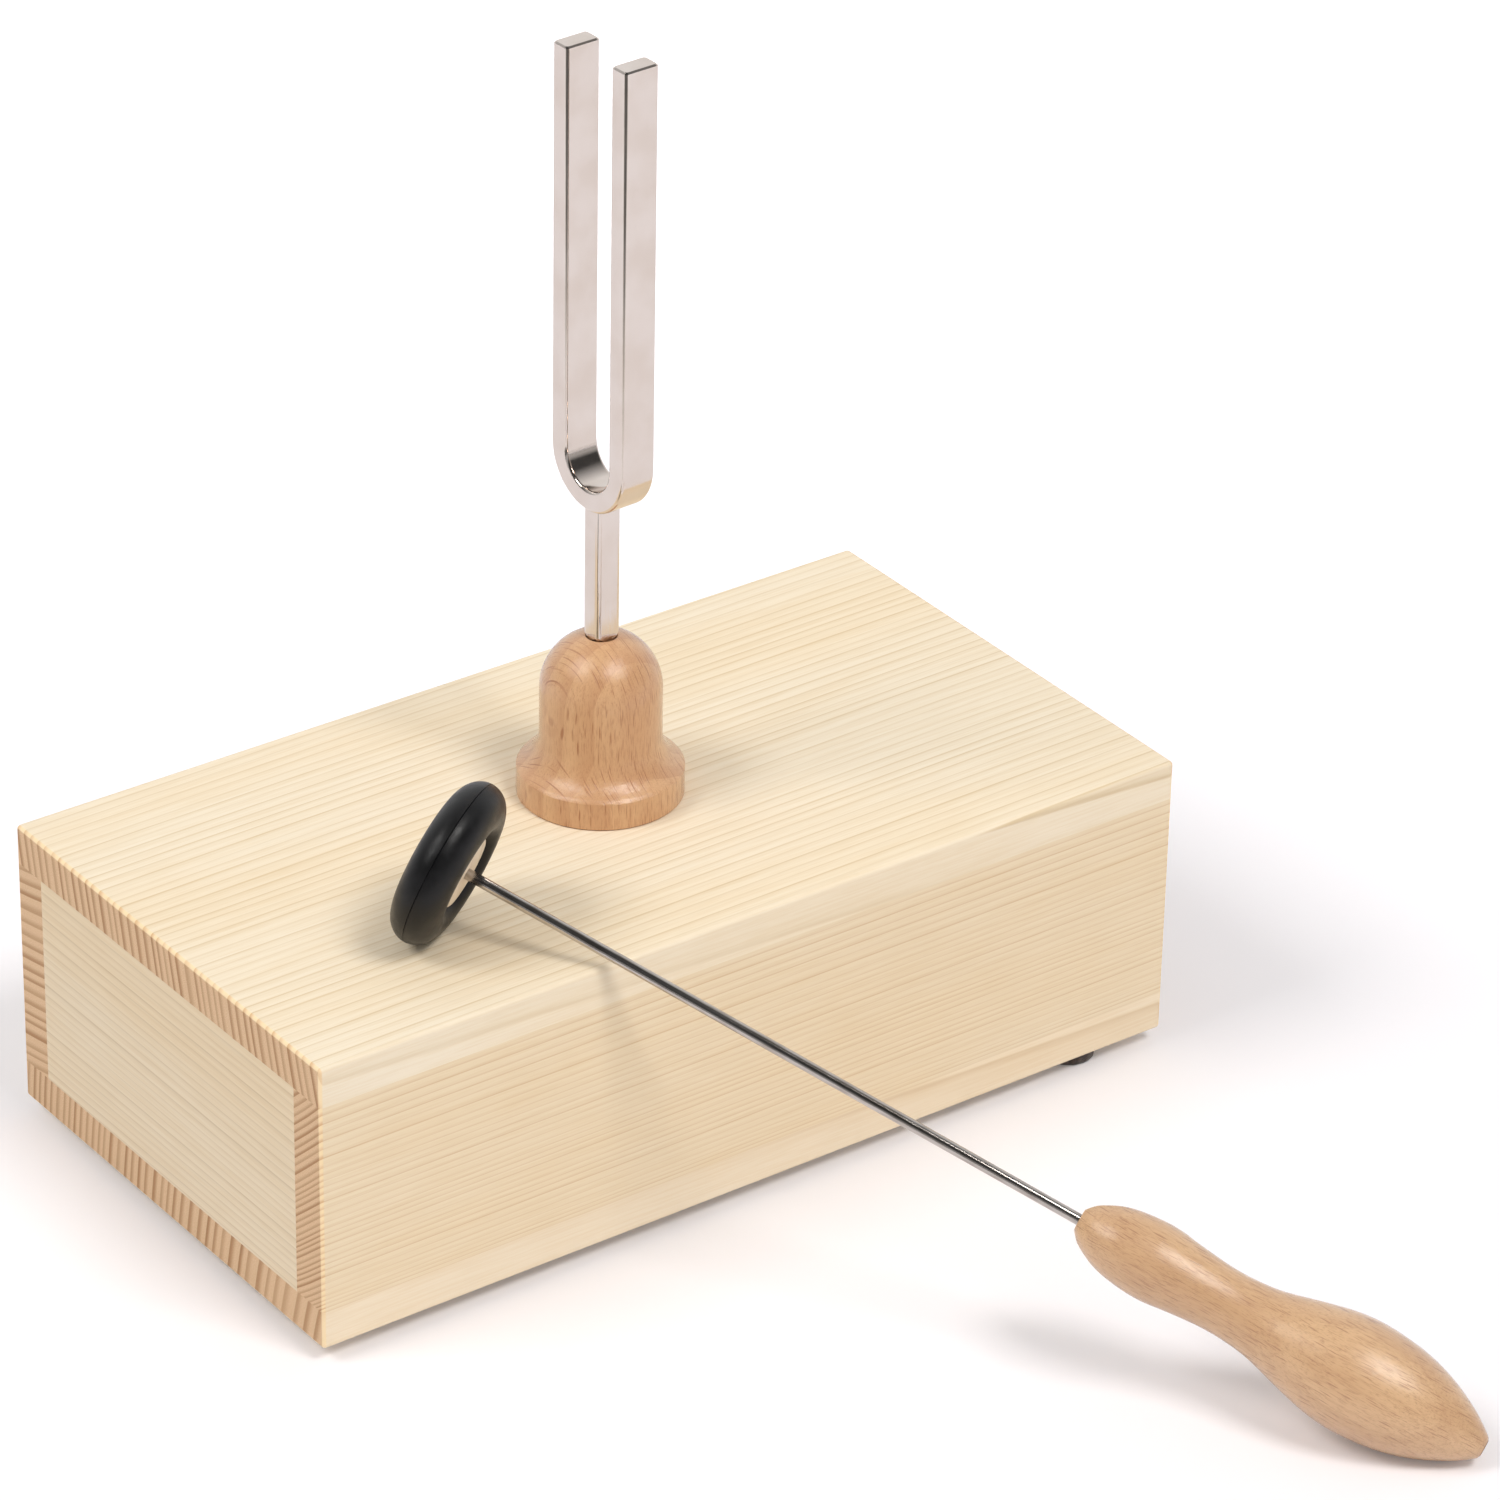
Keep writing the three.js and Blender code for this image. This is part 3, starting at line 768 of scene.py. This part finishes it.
def fork_sections():
    """Rounded sections along the U of the fork, tip to tip, around the foot's axis."""
    front_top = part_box("tuning_fork")[1].z - SEAT.z
    rear_top = front_top - REAR_TINE_SHORTER_BY
    middle = TINE_SPACING / 2
    outer = middle + TINE_THICKNESS / 2
    bend = YOKE_BOTTOM + outer
    tip = TINE_TIP_CHAMFER
    # Each stop: the middle of the section, the direction across the tine, and what the section loses.
    stops = [((-middle, front_top), -1, 0, tip), ((-middle, front_top - tip), -1, 0, 0)]
    for i in range(FORK_BEND_STEPS + 1):
        angle = math.pi + math.pi * i / FORK_BEND_STEPS
        across = (math.cos(angle), math.sin(angle))
        stops.append(((middle * across[0], bend + middle * across[1]), *across, 0))
    stops += [((middle, rear_top - tip), 1, 0, 0), ((middle, rear_top), 1, 0, tip)]
    sections = []
    for (y, z), across_y, across_z, loss in stops:
        size = (TINE_WIDTH - 2 * loss, TINE_THICKNESS - 2 * loss, FORK_EDGE_RADIUS - loss / 2)
        outline = rounded_rectangle(*size)
        sections.append([(u, y + v * across_y, z + v * across_z) for u, v in outline])
    return sections


def fork_stem(placement):
    """The flat-sided stem; its corners taper in to a round tenon."""
    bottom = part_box("tuning_fork")[0].z - SEAT.z
    top = YOKE_BOTTOM + TINE_THICKNESS / 2
    outline = rounded_rectangle(STEM_WIDTH, STEM_THICKNESS, STEM_CORNER)
    bar = new_object("stem", swept([[(x, y, z) for x, y in outline] for z in (TENON_TOP, top)]), placement)
    neck = TENON_RADIUS - TENON_CHAMFER
    taper = [(0, TENON_TOP), (neck, TENON_TOP), (STEM_WIDTH, TENON_TOP + STEM_WIDTH)]
    taper += [(STEM_WIDTH, top), (0, top)]
    combined(bar, new_object("taper", turned(taper), placement), "INTERSECT")
    core = STEM_THICKNESS / 2 - TENON_CHAMFER
    tenon = [(0, bottom), (TENON_RADIUS, bottom), (TENON_RADIUS, TENON_TOP - TENON_CHAMFER)]
    tenon += [(neck, TENON_TOP), (core, TENON_TOP)]
    tenon += [(core, TENON_TOP + TENON_CHAMFER), (0, TENON_TOP + TENON_CHAMFER)]
    return combined(bar, new_object("tenon", turned(tenon), placement), "UNION")


def tuning_fork():
    placement = Matrix.Translation(SEAT) @ Matrix.Rotation(FORK_TURN, 4, "Z")
    obj = new_object("tuning_fork_detailed", swept(fork_sections()), placement)
    combined(obj, fork_stem(placement), "UNION")
    level_flats(obj)
    show(obj, "tuning_fork", nickel())


# ---------------------------------------------------------------- the striker


def rubber_ring():
    """An egg-shaped section, with a mould seam round its crest."""
    widest = RING_OUTER_RADIUS - RING_CREST
    outline = []
    for i in range(RING_SECTION_STEPS):
        angle = math.tau * (i + 0.5) / RING_SECTION_STEPS
        reach = RING_CREST if math.cos(angle) > 0 else widest - RING_BORE_RADIUS
        outline.append((widest + reach * math.cos(angle), RING_HALF_WIDTH * math.sin(angle)))
    seam = [
        (RING_OUTER_RADIUS, -SEAM_HALF_WIDTH),
        (RING_OUTER_RADIUS - SEAM_DEPTH, 0),
        (RING_OUTER_RADIUS, SEAM_HALF_WIDTH),
    ]
    obj = new_object("rubber_ring_detailed", turned([*seam, *outline], closed=True), STRIKER)
    show(obj, "rubber_ring", black_rubber())


def striker_hub():
    corners = [
        (ROD_BORE_RADIUS, -HUB_HALF_WIDTH, 0),
        (HUB_RADIUS, -HUB_HALF_WIDTH, HUB_ROUNDING),
        (HUB_RADIUS, HUB_HALF_WIDTH, HUB_ROUNDING),
        (ROD_BORE_RADIUS, HUB_HALF_WIDTH, 0),
    ]
    obj = new_object("striker_hub_detailed", turned(filleted(corners), closed=True), STRIKER)
    wood = {
        "grain": (1, 0, 0),
        "pith": (0, 60, 35),
        "middle": (0, 0, 0),
        "rings_per_mm": 0.6,
        "tightening": 0.0,
        "shift": 0.0,
        "run_out": 0.0,
        "arris": 0.0,
        "seed": 57,
        "early": rgb(238, 225, 206),
        "late": rgb(222, 204, 180),
    }
    show(obj, "striker_hub", spruce("hub_spruce", wood))


def striker_rod():
    ends = [height for _, height in turned_outline("striker_rod", STRIKER)]
    corners = [(0, ends[0], 0), (ROD_RADIUS, ends[0], ROD_ROUNDING)]
    corners += [(ROD_RADIUS, ends[-1], ROD_ROUNDING), (0, ends[-1], 0)]
    obj = new_object("striker_rod_detailed", turned(filleted(corners)), STRIKER)
    show(obj, "striker_rod", bright_steel())


def striker_handle():
    """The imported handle's own outline, drawn finer, closed through the rod's bore."""
    points = turned_outline("striker_handle", STRIKER)
    rod_end = turned_outline("striker_rod", STRIKER)[-1][1] + END_CLEARANCE
    outside = [point for point in points if point[0] > ROD_BORE_RADIUS + TOUCHING]
    curve = smooth_curve(outside, HANDLE_SUBSTEPS)
    start, end = curve[0], curve[-1]
    bore = [(0, rod_end), (ROD_BORE_RADIUS, rod_end), (ROD_BORE_RADIUS, start[1])]
    obj = new_object("striker_handle_detailed", turned([*bore, *curve, (0, end[1])]), STRIKER)
    wood = {
        "light": rgb(216, 176, 133),
        "deep": rgb(194, 150, 110),
        "ray": rgb(148, 96, 60),
        "bark_side": math.radians(-35),
        "ring_edge": 7.0,
        "ring_strength": 0.25,
        "ray_strength": 0.6,
        "seed": 9,
    }
    show(obj, "striker_handle", beech("handle_beech", wood, STRIKER_TURN_BACK))


# ---------------------------------------------------------------- camera, floor and light


def camera():
    data = bpy.data.cameras.new("camera")
    data.lens = LENS
    data.clip_start = CLIP_START
    data.clip_end = CLIP_END
    obj = bpy.data.objects.new("camera", data)
    bpy.context.scene.collection.objects.link(obj)
    obj.location = BOX_ORIGIN + CAMERA_FROM_BOX
    level = math.cos(CAMERA_ELEVATION)
    back = Vector((
        math.sin(CAMERA_AZIMUTH) * level,
        -math.cos(CAMERA_AZIMUTH) * level,
        math.sin(CAMERA_ELEVATION),
    ))
    turn = (-back).to_track_quat("-Z", "Y").to_matrix().to_4x4()
    obj.matrix_world = Matrix.Translation(obj.location) @ turn @ Matrix.Rotation(CAMERA_ROLL, 4, "Z")
    bpy.context.scene.camera = obj


def floor():
    mesh_maker = bmesh.new()
    bmesh.ops.create_grid(mesh_maker, x_segments=1, y_segments=1, size=FLOOR_HALF_SIZE)
    obj = new_object("floor", mesh_maker, Matrix.Identity(4))
    surface = Surface("floor")
    # The table glows a little, and more where the lights don't reach, but only to the camera.
    distance = surface.vector("LENGTH", surface.coordinates.outputs["Object"])
    glow = surface.between(distance, BOX_HALF.x, FLOOR_GLOW_REACH, FLOOR_GLOW_NEAR, FLOOR_GLOW_FAR)
    glow = surface.times(glow, surface.add("LightPath").outputs["Is Camera Ray"])
    surface.finish(Emission_Color=(1, 1, 1, 1), Emission_Strength=glow)
    obj.data.materials.append(surface.finish(Base_Color=rgb(243, 241, 245), Roughness=0.9))


def painted_reflection_card():
    """A painted reflection: a sheet on the table towards the camera that only the metal and the lacquer see,
    glowing pale where it starts near the set and fading to dark further out.
    """
    mesh_maker = bmesh.new()
    bmesh.ops.create_grid(mesh_maker, x_segments=1, y_segments=1, size=DARK_HALF_SIZE)
    centre = SEAT - AHEAD * (REFLECTION_CARD_STARTS + DARK_HALF_SIZE)
    place = Matrix.Translation((centre.x, centre.y, MM)) @ Matrix.Rotation(CAMERA_AZIMUTH, 4, "Z")
    obj = new_object("painted_reflection_card", mesh_maker, place)
    surface = Surface("painted_reflection_card")
    away = surface.vector("DOT_PRODUCT", surface.coordinates.outputs["Object"], -AHEAD)
    away = surface.sum(away, DARK_HALF_SIZE)
    glow = surface.between(away, 0.0, REFLECTION_FADE_LENGTH, *REFLECTION_FADE)
    surface.finish(Base_Color=(0, 0, 0, 1), Emission_Color=(1, 0.97, 0.94, 1))
    obj.data.materials.append(surface.finish(Roughness=1.0, Emission_Strength=glow))
    obj.visible_camera = False
    obj.visible_diffuse = False
    obj.visible_shadow = False


def softbox(name, azimuth, elevation, width, height, brightness, colour):
    """An area light aimed at the box from a direction, in degrees from +X.

    A white surface that faces the light gets the brightness from it.
    """
    azimuth, elevation = math.radians(azimuth), math.radians(elevation)
    level = math.cos(elevation)
    towards = Vector((math.cos(azimuth) * level, math.sin(azimuth) * level, math.sin(elevation)))
    data = bpy.data.lights.new(name, "AREA")
    data.shape = "RECTANGLE"
    data.size, data.size_y = width, height
    data.energy = brightness * (math.pi * SOFTBOX_DISTANCE) ** 2
    data.color = colour
    obj = bpy.data.objects.new(name, data)
    bpy.context.scene.collection.objects.link(obj)
    obj.location = SEAT + towards * SOFTBOX_DISTANCE
    obj.rotation_euler = towards.to_track_quat("Z", "Y").to_euler()


def studio():
    """White to the camera; to the metal, a dim room above a pale backdrop behind the object."""
    world = bpy.data.worlds.new("studio")
    bpy.context.scene.world = world
    world.use_nodes = True
    tree = world.node_tree
    tree.nodes.clear()
    output = tree.nodes.new("ShaderNodeOutputWorld")
    background = tree.nodes.new("ShaderNodeBackground")
    path = tree.nodes.new("ShaderNodeLightPath")
    direction = tree.nodes.new("ShaderNodeTexCoord")
    behind = tree.nodes.new("ShaderNodeVectorMath")
    behind.operation = "DOT_PRODUCT"
    behind.inputs[1].default_value = AHEAD
    tree.links.new(direction.outputs["Generated"], behind.inputs[0])
    backdrop = tree.nodes.new("ShaderNodeMapRange")
    for key, value in BACKDROP.items():
        backdrop.inputs[key].default_value = value
    tree.links.new(behind.outputs["Value"], backdrop.inputs["Value"])
    # Pale walls all round, as high as the object sees them edge on.
    parts = tree.nodes.new("ShaderNodeSeparateXYZ")
    tree.links.new(direction.outputs["Generated"], parts.inputs[0])
    steepness = tree.nodes.new("ShaderNodeMath")
    steepness.operation = "ABSOLUTE"
    tree.links.new(parts.outputs["Z"], steepness.inputs[0])
    walls = tree.nodes.new("ShaderNodeMapRange")
    for key, value in WALLS.items():
        walls.inputs[key].default_value = value
    tree.links.new(steepness.outputs[0], walls.inputs["Value"])
    room = tree.nodes.new("ShaderNodeMath")
    room.operation = "MAXIMUM"
    tree.links.new(backdrop.outputs["Result"], room.inputs[0])
    tree.links.new(walls.outputs["Result"], room.inputs[1])
    glossy = tree.nodes.new("ShaderNodeMix")
    glossy.inputs[2].default_value = AMBIENT
    tree.links.new(path.outputs["Is Glossy Ray"], glossy.inputs[0])
    tree.links.new(room.outputs[0], glossy.inputs[3])
    seen = tree.nodes.new("ShaderNodeMix")
    seen.inputs[3].default_value = 1.0
    tree.links.new(path.outputs["Is Camera Ray"], seen.inputs[0])
    tree.links.new(glossy.outputs[0], seen.inputs[2])
    tree.links.new(seen.outputs[0], background.inputs["Strength"])
    tree.links.new(background.outputs[0], output.inputs[0])
    background.inputs["Color"].default_value = (1, 1, 1, 1)


resonance_box()
felt_pads()
foot_peg()
fork_foot()
tuning_fork()
rubber_ring()
striker_hub()
striker_rod()
striker_handle()
floor()
painted_reflection_card()
studio()
for softbox_name, softbox_settings in SOFTBOXES.items():
    softbox(softbox_name, *softbox_settings)
camera()
bpy.context.scene.view_settings.view_transform = "Standard"
